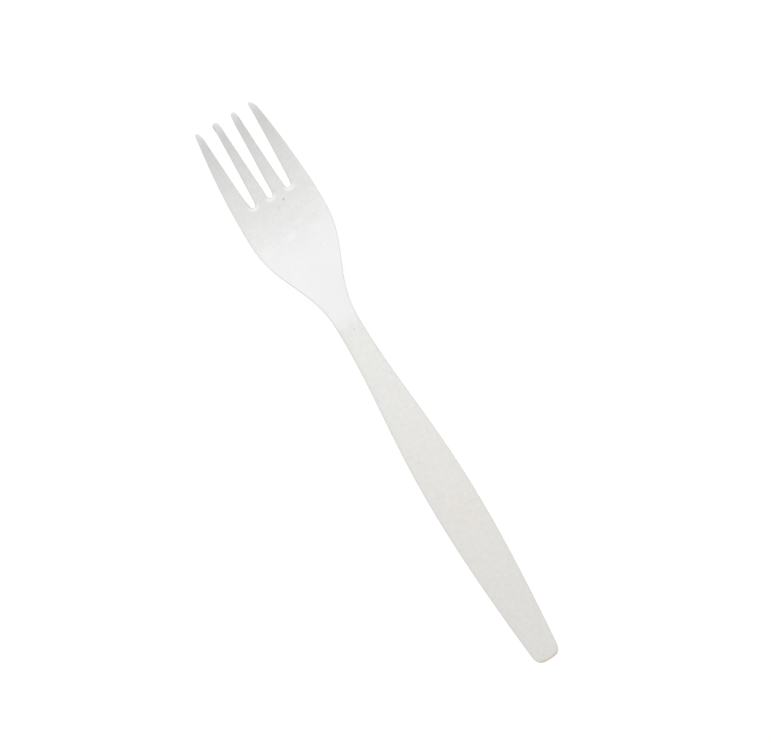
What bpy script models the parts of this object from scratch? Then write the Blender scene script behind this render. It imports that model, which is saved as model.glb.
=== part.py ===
# Plastic fork, moulded in one piece and lying with its hollow side up.
# Metres, +Z up. The tips point to +Y, the handle's end to -Y.
# The origin is under the middle of the fork's length, on the surface it lies on.

import math

import bmesh
import bpy

# Stretches along the fork, as seen from above, from the handle's end to the tips
END_TO_BELLY = 0.0485
BELLY_TO_NECK = 0.0545
NECK_TO_HEAD = 0.0353
HEAD_TO_SLOTS = 0.0061
SLOT_LENGTH = 0.0248

# Widths of the handle
END_WIDTH = 0.00715
END_FLARE = 0.18
BELLY_WIDTH = 0.01265
FLANK_FULLNESS = 1.15
NECK_WIDTH = 0.0067
SHOULDER_FULLNESS = 1.01

# Widths of the tines and of the slots between them
INNER_TINE_WIDTH = 0.00383
OUTER_TINE_WIDTH = 0.00503
SLOT_WIDTH = 0.00174
INNER_TIP_WIDTH = 0.00168
SLOT_FLARE = 0.8
OUTER_TIP_WIDTH = 0.00145

# Corners seen from above
END_CORNER_RADIUS = 0.002
END_BOW = 0.0003
TIP_CORNER_LENGTH = 0.0016
TIP_CORNER_SHARE = 0.75

# Side view: heights of the underside over the surface it lies on
NECK_RISE = 0.0079
NECK_FALL = 0.04
TIP_RISE = 0.0081
BEND_LENGTH = 0.0035
BOWL_CURVE_LENGTH = 0.0125
FLOOR_LENGTH = 0.0035
TINE_CURVE_LENGTH = 0.024

# Wall, its rounded edges, and the gentle forms of its upper face
HANDLE_THICKNESS = 0.0020
TINE_THICKNESS = 0.0016
TIP_EDGE_THICKNESS = 0.0011
TIP_BEVEL_LENGTH = 0.0034
TIP_BEVEL_FULLNESS = 2.4
EDGE_RADIUS = 0.00045
EDGE_SHARE = 0.42
EDGE_MARGIN = 1.5
CROWN_HEIGHT = 0.00028
DISH_DEPTH = 0.0008

# Fineness of the mesh
HANDLE_STEP = 0.0036
HEAD_STEP = 0.0021
TINE_STEP = 0.0026
TIP_STEP = 0.0013
BEND_STEPS = 3
CORNER_STEPS = 4
SLOT_ARC_STEPS = 8
EDGE_STEPS = 3
SHARP_ANGLE = math.radians(40)

PLASTIC_COLOUR = (0.79, 0.785, 0.765, 1.0)
PLASTIC_ROUGHNESS = 0.36

# Places along the fork, worked out from the stretches
BELLY = END_TO_BELLY
NECK = BELLY + BELLY_TO_NECK
HEAD = NECK + NECK_TO_HEAD
SLOT_BOTTOM = HEAD + HEAD_TO_SLOTS
SLOT_RADIUS = SLOT_WIDTH / 2
SLOT_START = SLOT_BOTTOM + SLOT_RADIUS
TIP = SLOT_BOTTOM + SLOT_LENGTH
FLOOR_END = SLOT_BOTTOM - EDGE_RADIUS - FLOOR_LENGTH / 2
FLOOR_START = FLOOR_END - FLOOR_LENGTH

# Slots run parallel to the fork, so their pitch fixes how far they open at the tips
SLOT_PITCH = INNER_TINE_WIDTH + SLOT_WIDTH
SLOT_MOUTH = SLOT_PITCH - INNER_TIP_WIDTH


def clear_scene():
    for thing in list(bpy.data.objects):
        bpy.data.objects.remove(thing, do_unlink=True)


def smooth(share):
    share = min(max(share, 0.0), 1.0)
    return share * share * (3 - 2 * share)


def smoother(share):
    share = min(max(share, 0.0), 1.0)
    return share**3 * (share * (6 * share - 15) + 10)


def slot_width(along):
    share = max(0.0, along - SLOT_START) / (TIP - SLOT_START)
    return SLOT_WIDTH + (SLOT_MOUTH - SLOT_WIDTH) * share**SLOT_FLARE


def head_edge(along):
    """Half the head's width from its widest place to the tips, as one parabola."""
    at_slots = SLOT_PITCH + SLOT_WIDTH / 2 + OUTER_TINE_WIDTH
    at_tips = SLOT_PITCH + SLOT_MOUTH / 2 + OUTER_TIP_WIDTH
    slots_share = ((SLOT_START - HEAD) / (TIP - HEAD)) ** 2
    drop = (at_slots - at_tips) / (1 - slots_share)
    share = ((along - HEAD) / (TIP - HEAD)) ** 2
    return at_tips + drop * (1 - share)


def handle_edge(along):
    """Half the handle's width from its end to the neck."""
    if along < BELLY:
        share = along / BELLY
        flare = END_FLARE * BELLY * share * (1 - share) ** 2
        width = END_WIDTH + (BELLY_WIDTH - END_WIDTH) * smooth(share) + flare
    else:
        share = ((along - BELLY) / BELLY_TO_NECK) ** FLANK_FULLNESS
        width = BELLY_WIDTH + (NECK_WIDTH - BELLY_WIDTH) * smooth(share)
    return width / 2


def outer_edge(along):
    """Half the fork's full width."""
    if along >= HEAD:
        return head_edge(along)
    if along >= NECK:
        share = smoother(((along - NECK) / NECK_TO_HEAD) ** SHOULDER_FULLNESS)
        return NECK_WIDTH / 2 + (head_edge(HEAD) - NECK_WIDTH / 2) * share
    edge = handle_edge(along)
    if along < END_CORNER_RADIUS:
        reach = END_CORNER_RADIUS - along
        edge -= END_CORNER_RADIUS - math.sqrt(END_CORNER_RADIUS**2 - reach**2)
    return edge


def back_slope():
    """Fall of the bowl's straight back, so that it brings the neck down to the floor."""
    straight = FLOOR_START - BOWL_CURVE_LENGTH - NECK - BEND_LENGTH
    reach = BEND_LENGTH / 2 + straight + BOWL_CURVE_LENGTH / 2
    return (NECK_RISE - NECK_FALL * BEND_LENGTH / 2) / reach


def handle_height(along):
    """Underside of the arched handle, a parabola from the surface to the neck, and its slope."""
    curve = (NECK_RISE + NECK_FALL * NECK) / NECK**2
    back = NECK - along
    return NECK_RISE + NECK_FALL * back - curve * back**2, 2 * curve * back - NECK_FALL


def bowl_height(along):
    """Underside from the neck to the floor: a bend, a straight back and a curve, and its slope."""
    fall = back_slope()
    bend_end = NECK + BEND_LENGTH
    curve_start = FLOOR_START - BOWL_CURVE_LENGTH
    if along < bend_end:
        reach = along - NECK
        turn = (fall - NECK_FALL) / BEND_LENGTH
        return NECK_RISE - NECK_FALL * reach - turn * reach**2 / 2, -NECK_FALL - turn * reach
    if along < curve_start:
        left = curve_start - along
        return fall * (left + BOWL_CURVE_LENGTH / 2), -fall
    left = FLOOR_START - along
    turn = fall / BOWL_CURVE_LENGTH
    return turn * left**2 / 2, -turn * left


def tine_height(along):
    """Underside from the floor to the tips: a curve that runs out straight, and its slope."""
    length = TIP - FLOOR_END
    curve = min(TINE_CURVE_LENGTH, length)
    rise = TIP_RISE / (length - curve / 2)
    reach = along - FLOOR_END
    if reach < curve:
        return rise * reach**2 / (2 * curve), rise * reach / curve
    return rise * (reach - curve / 2), rise


def underside(along):
    """Height and slope of the underside on the middle line."""
    if along < NECK:
        return handle_height(along)
    if along < FLOOR_START:
        return bowl_height(along)
    if along <= FLOOR_END:
        return 0.0, 0.0
    return tine_height(along)


def dish(across, along):
    """How much higher the bowl's sides are than its middle."""
    start = NECK + BEND_LENGTH / 2
    share = (along - start) / (FLOOR_START - start)
    if not 0 < share < 1:
        return 0.0
    swell = math.sin(math.pi * share) ** 2
    return DISH_DEPTH * swell * (across / outer_edge(along)) ** 2


def crown(across, along):
    """How much lower the handle's upper face is towards its sides."""
    fade = 1 - smooth((along - NECK) / BEND_LENGTH)
    return CROWN_HEIGHT * fade * (across / outer_edge(along)) ** 4


def thickness(across, along):
    """Wall measured straight up, so that it is the named one across the wall."""
    share = smooth((along - NECK) / (SLOT_BOTTOM - NECK))
    wall = HANDLE_THICKNESS + (TINE_THICKNESS - HANDLE_THICKNESS) * share
    bevel = (along - TIP + TIP_BEVEL_LENGTH) / TIP_BEVEL_LENGTH
    if bevel > 0:
        wall += (TIP_EDGE_THICKNESS - TINE_THICKNESS) * bevel**TIP_BEVEL_FULLNESS
    slope = underside(along)[1]
    return wall * math.hypot(1, slope) - crown(across, along)


def stretch(start, end, step):
    """Places from start, itself left out, to end, evenly spaced by no more than step."""
    count = max(1, math.ceil((end - start) / step - 1e-6))
    return [start + (end - start) * number / count for number in range(1, count + 1)]


def corner_places(radius):
    """Places within a rounded corner, from its outermost line inwards."""
    return [
        radius * (1 - math.cos(math.pi / 2 * number / CORNER_STEPS))
        for number in range(CORNER_STEPS + 1)
    ]


def body_rows():
    """Places of the rows that run across handle and head, up to the last one before the slots."""
    rows = corner_places(END_CORNER_RADIUS)
    rows += stretch(rows[-1], NECK, HANDLE_STEP)
    rows += stretch(NECK, NECK + BEND_LENGTH, BEND_LENGTH / BEND_STEPS)
    rows += stretch(rows[-1], FLOOR_START, HEAD_STEP)
    rows += stretch(FLOOR_START, FLOOR_END, FLOOR_LENGTH)
    return rows


def slot_edges(along):
    """Across places of the slots' six sides, from -X to +X."""
    half = slot_width(along) / 2
    return [
        centre + side * half
        for centre in (-SLOT_PITCH, 0.0, SLOT_PITCH)
        for side in (-1, 1)
    ]


def tine_sides(along):
    """Left and right side of each tine at one place along the fork."""
    edge = outer_edge(along)
    places = [-edge] + slot_edges(along) + [edge]
    return list(zip(places[0::2], places[1::2]))


def column_shares():
    """Where the body's columns run, as shares of half the width: tine sides and middles."""
    edge = outer_edge(SLOT_START)
    shares = []
    for left, right in tine_sides(SLOT_START):
        shares += [left / edge, (left + right) / 2 / edge, right / edge]
    return shares


def plan_body(sheet):
    """Flat grid of handle and head. Gives back its last row of corners."""
    shares = column_shares()
    above = None
    for along in body_rows():
        edge = outer_edge(along)
        bow = END_BOW * max(0.0, 1 - along / END_CORNER_RADIUS)
        row = [
            sheet.verts.new((edge * share, along + bow * share**2, 0))
            for share in shares
        ]
        if above:
            for number in range(len(row) - 1):
                sheet.faces.new((above[number], above[number + 1], row[number + 1], row[number]))
        above = row
    return above


def plan_slot_bottom(sheet, below_left, below_right, left, right, centre):
    """Fan of triangles between the body's last row and one slot's round bottom."""
    arc = [left]
    for number in range(1, SLOT_ARC_STEPS):
        angle = math.pi * number / SLOT_ARC_STEPS
        across = centre - SLOT_RADIUS * math.cos(angle)
        arc.append(sheet.verts.new((across, SLOT_START - SLOT_RADIUS * math.sin(angle), 0)))
    arc.append(right)
    middle = SLOT_ARC_STEPS // 2
    for number in range(SLOT_ARC_STEPS):
        corner = below_left if number < middle else below_right
        sheet.faces.new((corner, arc[number + 1], arc[number]))
    sheet.faces.new((below_left, below_right, arc[middle]))


def tine_rows(left, right):
    """Places of a tine's rows past the slots' start, with what the tip's corners take off."""
    depth = TIP_CORNER_SHARE * (right - left) / 2
    bevel_start = TIP - TIP_BEVEL_LENGTH
    rows = [(along, 0.0) for along in stretch(SLOT_START, bevel_start, TINE_STEP)]
    rows += [(along, 0.0) for along in stretch(bevel_start, TIP - TIP_CORNER_LENGTH, TIP_STEP)]
    for place in reversed(corner_places(TIP_CORNER_LENGTH)[:-1]):
        reach = 1 - place / TIP_CORNER_LENGTH
        rows.append((TIP - place, depth * (1 - math.sqrt(1 - reach**2))))
    return rows


def plan_tine(sheet, number, first_row):
    """Flat strip of one tine, two faces wide, from the slots' start to its rounded tip."""
    left_tip, right_tip = tine_sides(TIP)[number]
    above = first_row
    for along, taken in tine_rows(left_tip, right_tip):
        left, right = tine_sides(along)[number]
        places = (left + taken, (left + right) / 2, right - taken)
        row = [sheet.verts.new((across, along, 0)) for across in places]
        for side in (0, 1):
            sheet.faces.new((above[side], above[side + 1], row[side + 1], row[side]))
        above = row


def plan_sheet():
    """The fork's outline as a flat sheet of faces: across on X, along on Y."""
    sheet = bmesh.new()
    last = plan_body(sheet)
    edge = outer_edge(SLOT_START)
    start = [sheet.verts.new((edge * share, SLOT_START, 0)) for share in column_shares()]
    for number in range(len(tine_sides(SLOT_START))):
        first = 3 * number
        for side in (first, first + 1):
            sheet.faces.new((last[side], last[side + 1], start[side + 1], start[side]))
        if first + 3 < len(start):
            centre = (number - 1) * SLOT_PITCH
            plan_slot_bottom(
                sheet, last[first + 2], last[first + 3], start[first + 2], start[first + 3], centre
            )
        plan_tine(sheet, number, start[first:first + 3])
    return sheet


def outward(vert):
    """Direction away from the sheet, in plan, at a corner of its outline.

    The sheet's faces run anticlockwise, so its inside is to the left of each outer edge.
    """
    total = [0.0, 0.0]
    for edge in vert.link_edges:
        if not edge.is_boundary:
            continue
        loop = edge.link_loops[0]
        run = (loop.link_loop_next.vert.co - loop.vert.co).normalized()
        total[0] += run.y
        total[1] -= run.x
    length = math.hypot(*total)
    return total[0] / length, total[1] / length


def behind_end(along):
    """How many edge radii a corner inside the outline moves in from an end, and that end's side."""
    if along < END_CORNER_RADIUS:
        return EDGE_MARGIN * (1 - along / END_CORNER_RADIUS), (0, -1)
    if along > TIP - TIP_CORNER_LENGTH:
        return EDGE_MARGIN * (1 - (TIP - along) / TIP_CORNER_LENGTH), (0, 1)
    return 0, (0, 0)


def edge_section():
    """Rounded edge from the upper face round to the underside: inset, share of the drop, side."""
    angles = [math.pi / 2 * number / EDGE_STEPS for number in range(EDGE_STEPS + 1)]
    quarter = [(1 - math.sin(angle), 1 - math.cos(angle)) for angle in angles]
    upper = [(inset, drop, 1) for inset, drop in quarter]
    lower = [(inset, drop, -1) for inset, drop in reversed(quarter)]
    return upper + lower


def wall_point(across, along, inset, drop, side, direction):
    """Place in the solid of a point of the plan, moved in from its edge and off its face."""
    wall_at_edge = thickness(across, min(max(along, 0.0), TIP))
    radius = min(EDGE_RADIUS, EDGE_SHARE * wall_at_edge)
    across -= inset * radius * direction[0]
    along -= inset * radius * direction[1]
    place = min(max(along, 0.0), TIP)
    base = underside(place)[0] + dish(across, place)
    wall = thickness(across, place)
    height = base + wall - drop * radius if side > 0 else base + drop * radius
    return across, along - TIP / 2, height


def solid_of(sheet):
    """The sheet given its wall: an upper face, an underside and a rounded edge between them."""
    solid = bmesh.new()
    layers = {}
    for vert in sheet.verts:
        if vert.is_boundary:
            section = edge_section()
            direction = outward(vert)
        else:
            inset, direction = behind_end(vert.co.y)
            section = [(inset, 0, 1), (inset, 0, -1)]
        layers[vert] = [
            solid.verts.new(wall_point(vert.co.x, vert.co.y, *step, direction))
            for step in section
        ]
    for face in sheet.faces:
        solid.faces.new([layers[vert][0] for vert in face.verts])
        solid.faces.new([layers[vert][-1] for vert in reversed(face.verts)])
    for edge in sheet.edges:
        if not edge.is_boundary:
            continue
        first, second = (layers[vert] for vert in edge.verts)
        for upper in range(len(first) - 1):
            lower = upper + 1
            solid.faces.new((first[upper], second[upper], second[lower], first[lower]))
    bmesh.ops.recalc_face_normals(solid, faces=solid.faces)
    return solid


def plastic():
    material = bpy.data.materials.new("white_plastic")
    material.use_nodes = True
    shader = material.node_tree.nodes["Principled BSDF"]
    shader.inputs["Base Color"].default_value = PLASTIC_COLOUR
    shader.inputs["Roughness"].default_value = PLASTIC_ROUGHNESS
    shader.inputs["Metallic"].default_value = 0.0
    return material


def build_fork():
    sheet = plan_sheet()
    solid = solid_of(sheet)
    sheet.free()
    mesh = bpy.data.meshes.new("fork")
    solid.to_mesh(mesh)
    solid.free()
    mesh.shade_smooth()
    mesh.set_sharp_from_angle(angle=SHARP_ANGLE)
    mesh.materials.append(plastic())
    fork = bpy.data.objects.new("fork", mesh)
    bpy.context.scene.collection.objects.link(fork)


clear_scene()
build_fork()
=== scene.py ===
import math

import bmesh
import bpy
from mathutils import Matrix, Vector


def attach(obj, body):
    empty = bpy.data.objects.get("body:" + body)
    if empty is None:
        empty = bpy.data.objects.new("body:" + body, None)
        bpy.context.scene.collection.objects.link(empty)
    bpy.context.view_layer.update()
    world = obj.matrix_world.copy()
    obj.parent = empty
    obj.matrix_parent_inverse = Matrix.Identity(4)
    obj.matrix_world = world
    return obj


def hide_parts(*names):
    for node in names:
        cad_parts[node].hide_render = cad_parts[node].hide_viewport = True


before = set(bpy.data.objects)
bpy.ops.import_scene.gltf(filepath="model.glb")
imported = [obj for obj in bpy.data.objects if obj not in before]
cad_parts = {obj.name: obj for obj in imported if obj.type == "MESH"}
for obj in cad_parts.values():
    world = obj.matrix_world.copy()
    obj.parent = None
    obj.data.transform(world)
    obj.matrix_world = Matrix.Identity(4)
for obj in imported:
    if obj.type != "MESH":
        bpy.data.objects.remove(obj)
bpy.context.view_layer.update()  # one body, root, with one node, fork
print("frame loaded")


# The fork in metres, lying hollow side up. The tips point to +Y, and places
# along it are counted from the handle's end.
fork = {
    "endToBelly": 0.0485,
    "bellyToNeck": 0.0545,
    "neckToHead": 0.0353,
    "headToSlots": 0.0061,
    "slotLength": 0.0248,
    "endWidth": 0.00715,
    "endFlare": 0.18,
    "bellyWidth": 0.01265,
    "flankFullness": 1.15,
    "neckWidth": 0.0067,
    "shoulderFullness": 1.01,
    "innerTineWidth": 0.00383,
    "outerTineWidth": 0.00503,
    "slotWidth": 0.00174,
    "innerTipWidth": 0.00168,
    "outerTipWidth": 0.00145,
    "slotFlare": 0.8,
    "endCorner": 0.002,  # length of the rounding, seen from above
    "endShoulder": 0.0036,  # where the handle's even rows begin
    "neckRise": 0.0079,  # heights are those of the underside
    "neckFall": 0.04,
    "tipRise": 0.0081,
    "bendLength": 0.0035,
    "bowlCurve": 0.0125,
    "floorLength": 0.0035,
    "tineCurve": 0.024,
    "handleWall": 0.0020,
    "tineWall": 0.0016,
    "tipWall": 0.0011,
    "tipBevel": 0.0034,
    "tipFullness": 2.4,
    "bluntShare": 0.04,  # of a tip's corner, left blunt
    "rim": 0.00045,  # rounding of all edges
    "rimAngle": 58,  # degrees, from which an edge is rounded
    "crown": 0.00028,  # fall of the handle's upper face towards its sides
    "dish": 0.0008,  # rise of the bowl towards its sides
    "lipWidth": 0.0011,  # worn round lip at the slots' bottoms
    "lipDepth": 0.0001,
    "lipHeight": 0.00128,  # above which the wall wears there
    "strayLength": 0.003,  # over which the tines' sides start to stray
    "rootReach": 0.0026,  # over which a slot's bottom strays
}
# each tip from -X to +X: its point's place across, then for its left and right side
# the corner's length and how far the side leans towards +X
tips = [
    (0.20, (0.0013, -0.00008), (0.0027, 0)),
    (0.42, (0.0011, -0.00027), (0.0016, -0.00005)),
    (0.48, (0.0012, 0.0002), (0.0022, 0.00008)),
    (0.16, (0.0016, -0.00015), (0.0028, 0)),
]
# how far each tine's left and right side stray from even spacing, towards +X
strays = [(-0.00005, -0.00015), (-0.0001, -0.00006), (-0.0003, -0.00018), (-0.0001, -0.00008)]
# how far each slot's bottom strays towards +X and the tips, and its share of the even width
rootStrays = [(0.00002, 0.00012, 0.88), (-0.0002, 0.00012, 1.02), (-0.00014, 0.00009, 0.97)]
# cage of the handle's rounded end from its middle to its side: across and back
endCage = [
    (0.000086, 0.0),
    (0.000634, 0.000003),
    (0.001611, 0.000094),
    (0.002043, 0.000206),
    (0.002427, 0.000306),
    (0.003149, 0.000722),
]
rowStep = {"handle": 0.0036, "bend": 0.0012, "head": 0.0021, "tine": 0.0026, "tip": 0.00085}
closeBy = 1e-5  # within which two places are the same

bellyAt = fork["endToBelly"]
neckAt = bellyAt + fork["bellyToNeck"]
headAt = neckAt + fork["neckToHead"]
slotAt = headAt + fork["headToSlots"]
tipAt = slotAt + fork["slotLength"]
slotRadius = fork["slotWidth"] / 2
slotStart = slotAt + slotRadius
floorEnd = slotAt - fork["rim"] - fork["floorLength"] / 2
floorStart = floorEnd - fork["floorLength"]
slotPitch = fork["innerTineWidth"] + fork["slotWidth"]
slotMouth = slotPitch - fork["innerTipWidth"]
middle = tipAt / 2  # where Y is 0
slotCentres = [-slotPitch, 0.0, slotPitch]


def ease(share):
    share = min(max(share, 0.0), 1.0)
    return share * share * (3 - 2 * share)


def easeMore(share):
    share = min(max(share, 0.0), 1.0)
    return share**3 * (share * (6 * share - 15) + 10)


# widths, as seen from above

def slotGap(along):
    share = max(0.0, along - slotStart) / (tipAt - slotStart)
    return fork["slotWidth"] + (slotMouth - fork["slotWidth"]) * share ** fork["slotFlare"]


def headHalf(along):
    atSlots = slotPitch + fork["slotWidth"] / 2 + fork["outerTineWidth"]
    atTips = slotPitch + slotMouth / 2 + fork["outerTipWidth"]
    slotsShare = ((slotStart - headAt) / (tipAt - headAt)) ** 2
    drop = (atSlots - atTips) / (1 - slotsShare)
    return atTips + drop * (1 - ((along - headAt) / (tipAt - headAt)) ** 2)


def handleHalf(along):
    belly = fork["bellyWidth"]
    if along < bellyAt:
        share = along / bellyAt
        flare = fork["endFlare"] * bellyAt * share * (1 - share) ** 2
        return (fork["endWidth"] + (belly - fork["endWidth"]) * ease(share) + flare) / 2
    share = ((along - bellyAt) / fork["bellyToNeck"]) ** fork["flankFullness"]
    return (belly + (fork["neckWidth"] - belly) * ease(share)) / 2


def half(along):
    if along >= headAt:
        return headHalf(along)
    if along < neckAt:
        return handleHalf(along)
    share = easeMore(((along - neckAt) / fork["neckToHead"]) ** fork["shoulderFullness"])
    neck = fork["neckWidth"] / 2
    return neck + (headHalf(headAt) - neck) * share


# heights, as seen from the side

def handleRise(along):
    back = neckAt - along
    curve = (fork["neckRise"] + fork["neckFall"] * neckAt) / neckAt**2
    height = fork["neckRise"] + fork["neckFall"] * back - curve * back**2
    return height, 2 * curve * back - fork["neckFall"]


def bowlRise(along):
    bendEnd = neckAt + fork["bendLength"]
    curveStart = floorStart - fork["bowlCurve"]
    reach = fork["bendLength"] / 2 + curveStart - bendEnd + fork["bowlCurve"] / 2
    fall = (fork["neckRise"] - fork["neckFall"] * fork["bendLength"] / 2) / reach
    if along < bendEnd:
        done = along - neckAt
        turn = (fall - fork["neckFall"]) / fork["bendLength"]
        slope = -fork["neckFall"] - turn * done
        return fork["neckRise"] - fork["neckFall"] * done - turn * done**2 / 2, slope
    if along < curveStart:
        return fall * (curveStart - along + fork["bowlCurve"] / 2), -fall
    left = floorStart - along
    turn = fall / fork["bowlCurve"]
    return turn * left**2 / 2, -turn * left


def tineRise(along):
    length = tipAt - floorEnd
    curve = min(fork["tineCurve"], length)
    slope = fork["tipRise"] / (length - curve / 2)
    done = along - floorEnd
    if done < curve:
        return slope * done**2 / (2 * curve), slope * done / curve
    return slope * (done - curve / 2), slope


def rise(along):
    if along < neckAt:
        return handleRise(along)
    if along < floorStart:
        return bowlRise(along)
    if along <= floorEnd:
        return 0.0, 0.0
    return tineRise(along)


def wall(along):
    share = ease((along - neckAt) / (slotAt - neckAt))
    thick = fork["handleWall"] + (fork["tineWall"] - fork["handleWall"]) * share
    return thick * math.hypot(1, rise(along)[1])


def dishRise(share, along):
    start = neckAt + fork["bendLength"] / 2
    part = (along - start) / (floorStart - start)
    if not 0 < part < 1:
        return 0.0
    return fork["dish"] * math.sin(math.pi * part) ** 2 * share**2


def crownFall(share, along):
    return fork["crown"] * (1 - ease((along - neckAt) / fork["bendLength"])) * share**4


def rowsBetween(start, end, step):
    count = max(1, math.ceil(round((end - start) / step, 6)))
    return [start + (end - start) * number / count for number in range(1, count + 1)]


# helpers for edit mode

def pick(test, mode="VERT"):
    bpy.ops.mesh.select_mode(type=mode)
    bpy.ops.mesh.select_all(action="DESELECT")
    mesh = bmesh.from_edit_mesh(bpy.context.object.data)
    for part in (mesh.verts if mode == "VERT" else mesh.faces):
        part.select_set(test(part))
    mesh.select_flush(True)
    bmesh.update_edit_mesh(bpy.context.object.data)


def push(x, y, z):
    bpy.ops.transform.translate(value=(x, y, z))


def scaleAbout(x, y, z, around):
    bpy.ops.transform.resize(value=(x, y, z), center_override=around)


def pullOut(x, y, z):
    bpy.ops.mesh.extrude_region_move(TRANSFORM_OT_translate={"value": (x, y, z)})


def onRow(vert, along):
    return abs(vert.co.y + middle - along) < closeBy


def onColumn(vert, across):
    return abs(abs(vert.co.x) - across) < closeBy


def facesTips(face):
    return face.normal.y > 0.9


def placeAlong(vert):
    return round(vert.co.y + middle, 6)


# the moulding

# a slot's bottom is half of a cage of eight corners, which subdivision draws in:
# each corner lies farSide from the slot's middle one way and nearSide the other
cageShrink = 0.902
cageRadius = slotRadius / cageShrink
nearSide = cageRadius * math.sin(math.pi / 8)
farSide = cageRadius * math.cos(math.pi / 8)
rootAlong = slotStart - farSide
turnAlong = slotStart - nearSide


def slotSides(along):
    reach = slotGap(along) / 2
    if along < turnAlong - closeBy:
        reach = nearSide
    elif along < slotStart:
        reach = farSide
    return [
        centre + side * reach
        for centre in slotCentres
        for side in (-1, 1)
    ]


def tineSides(along):
    places = [-half(along)] + slotSides(along) + [half(along)]
    share = ease((along - slotStart) / fork["strayLength"])
    return [
        (left + share * leftStray, right + share * rightStray)
        for left, right, (leftStray, rightStray) in zip(places[0::2], places[1::2], strays)
    ]


def columnShares():
    edge = half(rootAlong)
    shares = []
    for left, right in tineSides(rootAlong):
        shares += [left / edge, (left + right) / 2 / edge, right / edge]
    return shares


def rightShares():
    return columnShares()[6:]  # those of two tines, three each


def bodyRows():
    rows = rowsBetween(fork["endShoulder"], neckAt, rowStep["handle"])
    rows += rowsBetween(neckAt, neckAt + fork["bendLength"], rowStep["bend"])
    rows += rowsBetween(rows[-1], floorStart, rowStep["head"])
    rows += [floorEnd, rootAlong]
    return [0.0, fork["endCorner"], fork["endShoulder"]] + rows


def startBlock(rows):
    first, second = rows[0], rows[1]
    bpy.ops.mesh.primitive_cube_add(
        size=1,
        location=(0, (first + second) / 2 - middle, wall(0) / 2),
        scale=(2 * half(second), second - first, wall(0)),
    )
    block = bpy.context.object
    block.name = "forkMoulding"
    bpy.ops.object.transform_apply(location=True, rotation=True, scale=True)
    bpy.ops.object.mode_set(mode="EDIT")
    for share in columnShares()[1:-1]:
        bpy.ops.mesh.select_all(action="SELECT")
        bpy.ops.mesh.bisect(plane_co=(share * half(second), 0, 0), plane_no=(1, 0, 0))
    for share in rightShares():
        fall = crownFall(share, 0)
        pick(lambda vert: vert.co.z > wall(0) / 2 and onColumn(vert, share * half(second)))
        push(0, 0, -fall)
    pick(lambda vert: onRow(vert, second))
    push(0, 0, rise(second)[0])
    return block


def roundEnd(rows):
    for share, (across, back) in zip(rightShares(), endCage):
        reach = share * half(rows[1])
        for side in (-1, 1):
            pick(lambda vert: onRow(vert, 0) and abs(vert.co.x - side * reach) < closeBy)
            push(side * (across - reach), back, 0)


def pullBody(rows):
    pick(facesTips, "FACE")
    for before, at in zip(rows[1:], rows[2:]):
        pullOut(0, at - before, rise(at)[0] - rise(before)[0])
        scaleAbout(
            half(at) / half(before), 1, wall(at) / wall(before),
            (0, at - middle, rise(at)[0]),
        )


def shapeBowl(rows):
    shares = rightShares()
    for at in rows:
        for share in shares:
            reach = share * half(at)
            lift = dishRise(share, at)
            unCrown = crownFall(share, 0) - crownFall(share, at)
            if at > neckAt and lift + unCrown > 0:
                pick(lambda vert: onRow(vert, at) and onColumn(vert, reach))
                push(0, 0, lift)
                pick(
                    lambda vert: onRow(vert, at)
                    and onColumn(vert, reach)
                    and vert.co.z > rise(at)[0] + lift + wall(at) / 2
                )
                push(0, 0, unCrown)


def tineRows():
    rows = [rootAlong, turnAlong, slotStart + slotRadius / 2]
    rows += rowsBetween(rows[-1], tipAt - fork["tipBevel"], rowStep["tine"])
    return rows + rowsBetween(rows[-1], tipAt, rowStep["tip"])


def pullTine(number):
    left, right = tineSides(rootAlong)[number]
    pick(
        lambda face: facesTips(face)
        and abs(face.calc_center_median().y + middle - rootAlong) < closeBy
        and left < face.calc_center_median().x < right,
        "FACE",
    )
    rows = tineRows()
    for before, at in zip(rows, rows[1:]):
        oldLeft, oldRight = tineSides(before)[number]
        newLeft, newRight = tineSides(at)[number]
        shift = (newLeft + newRight - oldLeft - oldRight) / 2
        pullOut(shift, at - before, rise(at)[0] - rise(before)[0])
        scaleAbout(
            (newRight - newLeft) / (oldRight - oldLeft), 1, wall(at) / wall(before),
            ((newLeft + newRight) / 2, at - middle, rise(at)[0]),
        )


def roundRims():
    bpy.ops.mesh.select_mode(type="EDGE")
    bpy.ops.mesh.select_all(action="DESELECT")
    bpy.ops.mesh.edges_select_sharp(sharpness=math.radians(fork["rimAngle"]))
    bpy.ops.mesh.bevel(offset=fork["rim"], segments=3, profile=0.5, affect="EDGES", clamp_overlap=False)


def tipPlaces():
    start = tipAt - fork["tipBevel"]
    mesh = bmesh.from_edit_mesh(bpy.context.object.data)
    return sorted({placeAlong(vert) for vert in mesh.verts if placeAlong(vert) > start})


def thinTips():
    for at in tipPlaces():
        share = 1 - (tipAt - at) / fork["tipBevel"]
        keep = 1 - share ** fork["tipFullness"] * (1 - fork["tipWall"] / fork["tineWall"])
        pick(lambda vert: placeAlong(vert) == at)
        scaleAbout(1, 1, keep, (0, at - middle, rise(at)[0]))


def cornerKeep(back, length):
    share = min(max(back / length, fork["bluntShare"]), 1.0)
    return math.sqrt(1 - (1 - share) ** 2)


def pointTips():
    for at in tipPlaces():
        leanShare = ease(1 - (tipAt - at) / fork["tipBevel"])
        for (left, right), (pointShare, *corners) in zip(tineSides(at), tips):
            point = left + (right - left) * pointShare
            for side, edge, (corner, lean) in zip((-1, 1), (left, right), corners):
                keep = cornerKeep(tipAt - at, corner) * (1 + leanShare * lean / (edge - point))
                pick(
                    lambda vert: placeAlong(vert) == at
                    and left - fork["rim"] < vert.co.x < right + fork["rim"]
                    and side * (vert.co.x - point) > 0
                )
                scaleAbout(keep, 1, 1, (point, at - middle, 0))


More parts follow.
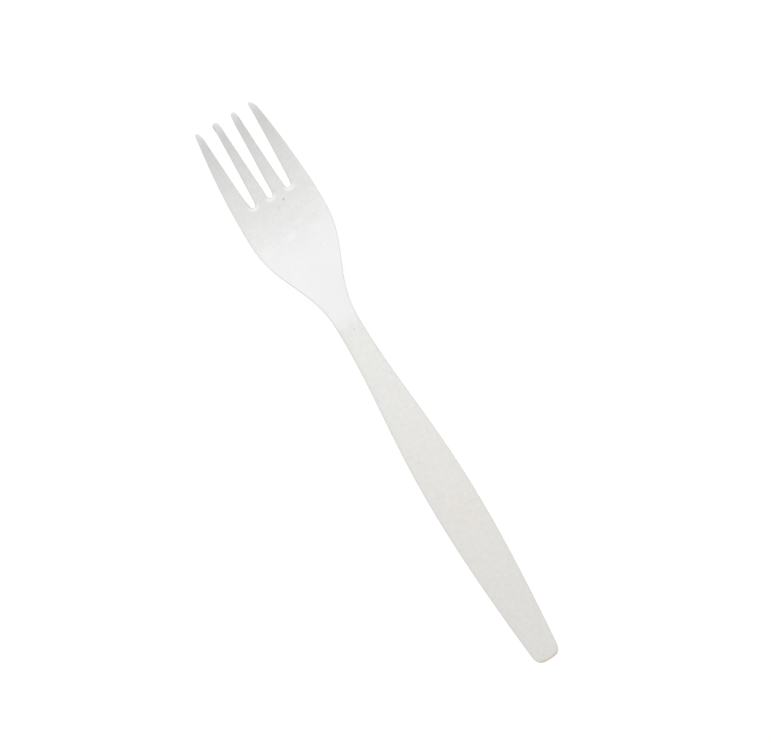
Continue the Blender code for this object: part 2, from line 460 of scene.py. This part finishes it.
def subdivide(piece, levels):
    bpy.context.view_layer.objects.active = piece
    finer = piece.modifiers.new("finer", "SUBSURF")
    finer.levels = levels
    finer.render_levels = levels
    bpy.ops.object.modifier_apply(modifier=finer.name)


def softly(reach):
    return {
        "use_proportional_edit": True,
        "use_proportional_connected": True,
        "proportional_edit_falloff": "SMOOTH",
        "proportional_size": reach,
    }


def atRoot(vert, centre):
    around = Vector((centre, slotStart - middle))
    return vert.co.y < around.y and (vert.co.xy - around).length < slotRadius + fork["rim"]


def wearLips():
    for centre in slotCentres:
        pick(lambda vert: vert.co.z > fork["lipHeight"] and atRoot(vert, centre))
        bpy.ops.transform.translate(value=(0, 0, -fork["lipDepth"]), **softly(fork["lipWidth"]))


def strayRoots():
    for centre, (across, forward, share) in zip(slotCentres, rootStrays):
        pick(lambda vert: atRoot(vert, centre))
        bpy.ops.transform.translate(value=(across, forward, 0), **softly(fork["rootReach"]))
        bpy.ops.transform.resize(
            value=(share, 1, 1),
            center_override=(centre + across, slotStart + forward - middle, 0),
            **softly(fork["rootReach"]),
        )


def mouldFork():
    bpy.ops.object.select_all(action="DESELECT")
    rows = bodyRows()
    piece = startBlock(rows)
    roundEnd(rows)
    pullBody(rows)
    shapeBowl(rows)
    for number in range(len(tips)):
        pullTine(number)
    roundRims()
    thinTips()
    pointTips()
    bpy.ops.object.mode_set(mode="OBJECT")
    subdivide(piece, 1)
    bpy.ops.object.mode_set(mode="EDIT")
    wearLips()
    strayRoots()
    bpy.ops.object.mode_set(mode="OBJECT")
    subdivide(piece, 1)
    bpy.ops.object.shade_smooth()
    return piece


moulding = mouldFork()
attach(moulding, "root")
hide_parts("fork")
print("fork moulded:", len(moulding.data.polygons), "faces")


# shader maths

class Wire:  # a socket that takes part in sums
    def __init__(self, tree, socket=None):
        self.tree = tree
        self.socket = socket

    def node(self, kind, settings, values, out=0):
        made = self.tree.nodes.new(kind)
        for name, value in settings.items():
            setattr(made, name, value)
        for name, value in values.items():
            if isinstance(value, Wire):
                self.tree.links.new(value.socket, made.inputs[name])
            else:
                made.inputs[name].default_value = value
        return Wire(self.tree, made.outputs[out])

    def math(self, operation, first, second):
        return self.node("ShaderNodeMath", {"operation": operation}, {0: first, 1: second})

    def __add__(self, other):
        return self.math("ADD", self, other)

    def __radd__(self, other):
        return self.math("ADD", other, self)

    def __sub__(self, other):
        return self.math("SUBTRACT", self, other)

    def __rsub__(self, other):
        return self.math("SUBTRACT", other, self)

    def __mul__(self, other):
        return self.math("MULTIPLY", self, other)

    def __rmul__(self, other):
        return self.math("MULTIPLY", other, self)


def newMaterial(name):
    material = bpy.data.materials.new(name)
    material.use_nodes = True
    return material


def blend(start, share, first, second, how="MIX"):
    settings = {"data_type": "RGBA", "blend_type": how}
    return start.node("ShaderNodeMix", settings, {0: share, 6: first, 7: second}, 2)


def between(start, value, low, high, fromLow, fromHigh):
    return start.node(
        "ShaderNodeMapRange",
        {"interpolation_type": "SMOOTHSTEP"},
        {0: value, 1: fromLow, 2: fromHigh, 3: low, 4: high},
    )


# white polystyrene, satin from the mould
plastic = {
    "handleTone": (0.793, 0.779, 0.749, 1),
    "neckTone": (0.788, 0.785, 0.760, 1),
    # neutral tone, painted where the bowl's back shows a highlight
    "bowlHighlightTone": (0.785, 0.785, 0.787, 1),
    "tineTone": (0.785, 0.782, 0.768, 1),
    # painted shade, darker towards the tines' ends
    "tineEndShadeTone": (0.754, 0.751, 0.737, 1),
    "tipHighlightTone": (0.82, 0.825, 0.835, 1),  # painted highlight on the tips' bevels, pale and a little blue
    "rimShadeTone": (0.60, 0.57, 0.51, 1),
    "rimShadeShare": 0.23,
    "rimShadeSlopes": (0.15, 0.75),  # painted shade on walls and steep roundings; it fades between these, where 0 is a wall and 1 is level
    "upperSlopes": (0.2, 0.6),  # the upper side's marks come in between these
    "lipHighlightTone": (0.868, 0.865, 0.860, 1),  # painted highlight, a pale crescent under each slot
    "lipNarrowing": 0.8,
    "lipDrop": 0.0006,  # from the middle of a slot's round bottom back to the crescent's
    "lipFade": (0.0009, 0.00145),
    "lipStart": (0.0001, 0.00035),  # beyond the slot's radius
    # painted shade, a thin brown line round each slot's bottom edge
    "slotShadeTone": (0.64, 0.58, 0.53, 1),
    "slotShadeShare": 0.45,
    "slotShadeFade": (0.0001, 0.0004),
    "endShadeTone": (0.71, 0.63, 0.52, 1),  # painted shade, a brown band along the edge of the handle's end
    "endShadeShare": 0.78,
    "endShadeReach": (0.0022, 0.003),
    "endShadeDepth": (0.0003, 0.00095),
    "endShadeCurve": 60,  # bends it with the end's rounding, per metre
    "endShadeSlopes": (-0.7, -0.3),  # none on the underside
    "colourMottle": 0.040,
    "mottleSize": 0.0009,
    "shadeMottle": 0.042,
    "shadeSize": 0.0014,
    "bowlHighlightEvenness": (0.93, 0.8),  # how much of the mottle and of the painted rim shade the bowl loses, so that its painted highlight reads even
    "roughness": 0.28,
    "roughnessSpread": 0.08,
    "roughnessSize": 0.003,
    "ior": 1.55,
    "waveSize": 0.006,
    "waveDepth": 0.00005,
    "grainSize": 0.0004,
    "grainDepth": 0.000004,
}
# where along the fork one tone or finish starts to pass into the next, and ends
passages = {
    "handleToNeck": (bellyAt + 0.015, neckAt - 0.018),
    "neckToBowl": (neckAt + 0.0017, neckAt + 0.0034),
    "bowlToTines": (floorStart - 0.010, floorEnd + 0.004),
    "tinesToEnds": (floorEnd + 0.013, tipAt - 0.0055),
    "endsToTips": (tipAt - 0.0043, tipAt - 0.0011),
    "intoBowlHighlight": (neckAt + 0.002, neckAt + 0.003),
    "outOfBowlHighlight": (floorStart - 0.0075, floorStart - 0.0045),
}
# the grey tone is painted shade, the pale one painted highlight, and the dark one serves real specks and
# painted shade
spotTones = {
    "speckAndShadeDark": (0.42, 0.40, 0.37, 1),
    "warm": (0.803, 0.762, 0.715, 1),
    "highlightPale": (0.82, 0.82, 0.81, 1),
    "shadeGrey": (0.75, 0.75, 0.735, 1),
}
spotCore = 0.3  # share of a spot that has its full strength
# soft patches, specks and scratches on the upper side, sizes in mm (grey patches are painted shade, pale
# ones painted highlight, and the dark strokes at the tips painted shade on the tines' edges):
# across, along, half length, half width, angle, tone, strength
spots = [
    (0.5, 46.2, 6.0, 4.6, 90, "warm", 0.6),
    # painted shade: grey patches over the head
    (0.0, 143.0, 22.0, 3.4, 0, "shadeGrey", 0.72),
    (2.3, 137.1, 3.2, 1.6, 0, "shadeGrey", 0.45),
    (5.5, 134.3, 6.0, 1.6, 0, "shadeGrey", 0.4),
    (-8.2, 125.5, 3.6, 7.0, 0, "shadeGrey", 0.45),
    (8.6, 126.5, 3.0, 6.0, 0, "shadeGrey", 0.4),
    # painted highlight: pale blotches where the bowl's highlight fades
    (-1.3, 132.9, 3.0, 1.7, 0, "highlightPale", 0.8),
    (-8.2, 132.4, 3.2, 2.4, 0, "highlightPale", 0.6),
    (6.3, 132.0, 3.4, 2.2, 0, "highlightPale", 0.5),
    (2.43, 142.5, 0.42, 0.40, 0, "speckAndShadeDark", 0.70),
    (0.22, 141.1, 0.36, 0.28, 30, "speckAndShadeDark", 0.42),
    (7.29, 134.9, 0.32, 0.30, 0, "speckAndShadeDark", 0.42),
    (4.47, 126.9, 0.28, 0.26, 0, "speckAndShadeDark", 0.26),
    (0.68, 102.8, 0.28, 0.26, 0, "speckAndShadeDark", 0.60),
    (-1.89, 106.2, 0.26, 0.26, 0, "speckAndShadeDark", 0.25),
    (0.50, 104.6, 0.22, 0.22, 0, "speckAndShadeDark", 0.20),
    (3.20, 87.8, 0.28, 0.26, 0, "speckAndShadeDark", 0.38),
    (0.93, 85.6, 0.22, 0.22, 0, "speckAndShadeDark", 0.22),
    (-3.02, 63.5, 0.30, 0.28, 0, "speckAndShadeDark", 0.45),
    (1.82, 63.2, 0.20, 0.20, 0, "speckAndShadeDark", 0.18),
    (5.30, 58.6, 0.22, 0.22, 0, "speckAndShadeDark", 0.20),
    (0.64, 19.8, 0.24, 0.24, 0, "speckAndShadeDark", 0.28),
    (-3.93, 9.1, 0.26, 0.26, 0, "speckAndShadeDark", 0.30),
    (-3.48, 3.9, 0.24, 0.22, 0, "speckAndShadeDark", 0.26),
    (-0.88, 1.73, 0.85, 0.15, -49, "speckAndShadeDark", 0.36),
    # painted shade along the tines' edges at the tips
    (-3.74, 167.5, 1.70, 0.19, 81, "speckAndShadeDark", 0.62),
    (3.33, 166.1, 1.80, 0.20, 98, "speckAndShadeDark", 0.45),
    (8.96, 167.3, 0.85, 0.20, 108, "speckAndShadeDark", 0.50),
]


def noise(start, coords, size, detail, out=0):
    return start.node(
        "ShaderNodeTexNoise", {}, {"Vector": coords, "Scale": 1 / size, "Detail": detail}, out
    )


def spotted(start, coords, colour, upper):
    for across, along, length, width, angle, tone, strength in spots:
        values = {
            "Vector": coords,
            "Location": (across / 1000, along / 1000 - middle, 0),
            "Rotation": (0, 0, math.radians(angle)),
            "Scale": (length / 1000, width / 1000, 1000),  # so that height makes no difference
        }
        place = start.node("ShaderNodeMapping", {"vector_type": "TEXTURE"}, values)
        reach = start.node("ShaderNodeVectorMath", {"operation": "LENGTH"}, {0: place}, 1)
        share = between(start, reach, strength, 0, spotCore, 1) * upper
        colour = blend(start, share, colour, spotTones[tone])
    return colour


def awayFrom(start, coords, narrowing, across, along):
    settings = {"operation": "MULTIPLY"}
    flat = start.node("ShaderNodeVectorMath", settings, {0: coords, 1: (narrowing, 1, 0)})
    place = (narrowing * across, along - middle, 0)
    return start.node("ShaderNodeVectorMath", {"operation": "DISTANCE"}, {0: flat, 1: place}, 1)


def slotEnds(start, coords, colour, upper):
    lipStart, lipEnd = plastic["lipStart"]
    edgeStart, edgeEnd = plastic["slotShadeFade"]
    for centre, (right, forward, _) in zip(slotCentres, rootStrays):
        across = centre + right
        along = slotStart + forward
        away = awayFrom(start, coords, 1, across, along)
        # painted highlight: a pale crescent on the handle side of each slot's bottom
        lower = awayFrom(start, coords, plastic["lipNarrowing"], across, along - plastic["lipDrop"])
        crescentHighlight = between(start, lower, 1, 0, *plastic["lipFade"])
        crescentHighlight = crescentHighlight * between(start, away, 0, 1, slotRadius + lipStart, slotRadius + lipEnd)
        colour = blend(start, crescentHighlight * upper, colour, plastic["lipHighlightTone"])
        # painted shade: a thin brown line along the slot's bottom edge
        edge = between(start, away, plastic["slotShadeShare"], 0, slotRadius + edgeStart, slotRadius + edgeEnd)
        colour = blend(start, edge, colour, plastic["slotShadeTone"])
    return colour


def passage(start, along, name):
    begin, end = passages[name]
    return between(start, along, 0, 1, begin - middle, end - middle)


def tonesAlong(start, along):
    handle = blend(
        start, passage(start, along, "handleToNeck"), plastic["handleTone"], plastic["neckTone"]
    )
    # painted shade darkens the tines towards their ends, and a painted highlight lightens the tips
    tines = blend(
        start, passage(start, along, "tinesToEnds"), plastic["tineTone"], plastic["tineEndShadeTone"]
    )
    tines = blend(start, passage(start, along, "endsToTips"), tines, plastic["tipHighlightTone"])
    colour = blend(start, passage(start, along, "neckToBowl"), handle, plastic["bowlHighlightTone"])
    return blend(start, passage(start, along, "bowlToTines"), colour, tines)


def mottled(start, coords, colour, share):
    tint = noise(start, coords, plastic["mottleSize"], 1, 1)
    shade = noise(start, coords, plastic["shadeSize"], 2)
    colour = blend(start, share * plastic["colourMottle"], colour, tint, "LINEAR_LIGHT")
    return blend(start, share * plastic["shadeMottle"], colour, shade, "LINEAR_LIGHT")


# painted shade: a brown band along the handle's end edge, which faces away from the light
def brownEndShade(start, across, along, upright, colour):
    reach = start.math("ABSOLUTE", across, 0)
    shallow, deep = plastic["endShadeDepth"]
    curved = along - plastic["endShadeCurve"] * reach * reach
    endShade = between(start, curved, 1, 0, shallow - middle, deep - middle)
    endShade = endShade * between(start, upright, 0, 1, *plastic["endShadeSlopes"])
    endShade = endShade * between(start, reach, plastic["endShadeShare"], 0, *plastic["endShadeReach"])
    return blend(start, endShade, colour, plastic["endShadeTone"])


def whitePlastic():
    material = newMaterial("whitePlastic")
    start = Wire(material.node_tree)
    shader = material.node_tree.nodes["Principled BSDF"]
    coords = start.node("ShaderNodeTexCoord", {}, {}, "Object")
    facing = start.node("ShaderNodeTexCoord", {}, {}, "Normal")
    upright = start.node("ShaderNodeSeparateXYZ", {}, {0: facing}, "Z")
    across = start.node("ShaderNodeSeparateXYZ", {}, {0: coords}, "X")
    along = start.node("ShaderNodeSeparateXYZ", {}, {0: coords}, "Y")
    upper = between(start, upright, 0, 1, *plastic["upperSlopes"])

    # painted highlight: the bowl's back is kept neutral and even, without mottle or rim shade
    inBowlHighlight = passage(start, along, "intoBowlHighlight") - passage(start, along, "outOfBowlHighlight")
    mottleLoss, rimShadeLoss = plastic["bowlHighlightEvenness"]
    colour = spotted(start, coords, tonesAlong(start, along), upper)
    colour = mottled(start, coords, colour, 1 - mottleLoss * inBowlHighlight)
    # painted shade: walls and steep roundings are darkened towards the rim tone
    level = start.math("ABSOLUTE", upright, 0)
    rim = between(start, level, plastic["rimShadeShare"], 0, *plastic["rimShadeSlopes"])
    colour = blend(start, rim * (1 - rimShadeLoss * inBowlHighlight), colour, plastic["rimShadeTone"])
    colour = slotEnds(start, coords, colour, upper)
    colour = brownEndShade(start, across, along, upright, colour)

    wave = noise(start, coords, plastic["waveSize"], 1.5)
    grain = noise(start, coords, plastic["grainSize"], 2)
    height = wave * plastic["waveDepth"] + grain * plastic["grainDepth"]
    bump = start.node("ShaderNodeBump", {}, {"Strength": 1.0, "Distance": 1.0, "Height": height})
    uneven = noise(start, coords, plastic["roughnessSize"], 2) - 0.5
    rough = plastic["roughness"] + plastic["roughnessSpread"] * uneven

    links = material.node_tree.links
    links.new(colour.socket, shader.inputs["Base Color"])
    links.new(rough.socket, shader.inputs["Roughness"])
    links.new(bump.socket, shader.inputs["Normal"])
    shader.inputs["IOR"].default_value = plastic["ior"]
    return material


moulding.data.materials.clear()
moulding.data.materials.append(whitePlastic())
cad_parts["fork"].data.materials.clear()
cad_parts["fork"].data.materials.append(moulding.data.materials[0])
print("plastic made")


# plain table, seen as white with a faint shadow
table = {
    "size": 3.0,
    "bounce": (0.62, 0.60, 0.57, 1),  # what it throws back on the fork
    "glow": 0.93,
    "shadowShare": 0.1,
}


def seenRays(start):
    path = start.tree.nodes.new("ShaderNodeLightPath")
    camera = Wire(start.tree, path.outputs["Is Camera Ray"])
    glossy = Wire(start.tree, path.outputs["Is Glossy Ray"])
    through = Wire(start.tree, path.outputs["Is Transmission Ray"])
    return camera.math("MAXIMUM", camera.math("MAXIMUM", camera, glossy), through)


def whiteTable():
    material = newMaterial("whiteTable")
    tree = material.node_tree
    tree.nodes.remove(tree.nodes["Principled BSDF"])
    start = Wire(tree)
    share = table["shadowShare"]
    bounce = start.node("ShaderNodeBsdfDiffuse", {}, {"Color": table["bounce"]})
    glow = start.node("ShaderNodeEmission", {}, {"Strength": table["glow"]})
    lit = start.node("ShaderNodeBsdfDiffuse", {}, {"Color": (share, share, share, 1)})
    shown = start.node("ShaderNodeAddShader", {}, {0: glow, 1: lit})
    mixed = start.node("ShaderNodeMixShader", {}, {0: seenRays(start), 1: bounce, 2: shown})
    tree.links.new(mixed.socket, tree.nodes["Material Output"].inputs["Surface"])
    return material


def layTable():
    bpy.ops.object.select_all(action="DESELECT")
    bpy.ops.mesh.primitive_plane_add(size=table["size"], location=(0, 0, 0))
    top = bpy.context.object
    top.name = "tableTop"
    top.data.materials.append(whiteTable())


layTable()
print("table laid")


# soft studio light: a long bank low beyond the tips, a weak one above, and a pale room
lamps = {
    "bank": {"towards": (0.10, 0.93, 0.36), "distance": 1.6, "size": (1.8, 0.7), "power": 14.0},
    "above": {"towards": (0.05, 0.05, 1.0), "distance": 1.6, "size": (0.9, 0.9), "power": 1.1},
}
room = {"shade": (1, 1, 1, 1), "strength": 0.79}


def hangLamp(name, values):
    towards = Vector(values["towards"]).normalized()
    lamp = bpy.data.lights.new(name, "AREA")
    lamp.shape = "RECTANGLE"
    lamp.size, lamp.size_y = values["size"]
    lamp.energy = values["power"]
    holder = bpy.data.objects.new(name, lamp)
    holder.location = towards * values["distance"]
    holder.rotation_euler = towards.to_track_quat("Z", "Y").to_euler()
    bpy.context.scene.collection.objects.link(holder)


def lightRoom():
    world = bpy.data.worlds.new("room")
    world.use_nodes = True
    bpy.context.scene.world = world
    tree = world.node_tree
    start = Wire(tree)
    seen = seenRays(start)
    strength = seen + (1 - seen) * room["strength"]
    tree.links.new(strength.socket, tree.nodes["Background"].inputs["Strength"])
    tree.nodes["Background"].inputs["Color"].default_value = room["shade"]


for name, values in lamps.items():
    hangLamp(name, values)
lightRoom()
print("lights hung")


# camera straight above, turned so that the fork lies across the frame
view = {
    "centre": (0.002032, 0.004221),
    "height": 1.2,
    "turn": -31.036,
    "frameWidth": 0.20598,
    "sensor": 36.0,  # mm
    "sees": 10.0,  # how far
    "focusHeight": 0.005,  # the fork's mean height, where the frame has its width
}


def placeCamera():
    lens = bpy.data.cameras.new("overhead")
    lens.sensor_width = view["sensor"]
    lens.lens = view["sensor"] * (view["height"] - view["focusHeight"]) / view["frameWidth"]
    lens.clip_end = view["sees"]
    camera = bpy.data.objects.new("overhead", lens)
    camera.location = (*view["centre"], view["height"])
    camera.rotation_euler = (0, 0, math.radians(view["turn"]))
    bpy.context.scene.collection.objects.link(camera)
    bpy.context.scene.camera = camera


placeCamera()
bpy.context.scene.view_settings.view_transform = "Standard"
print("camera placed")
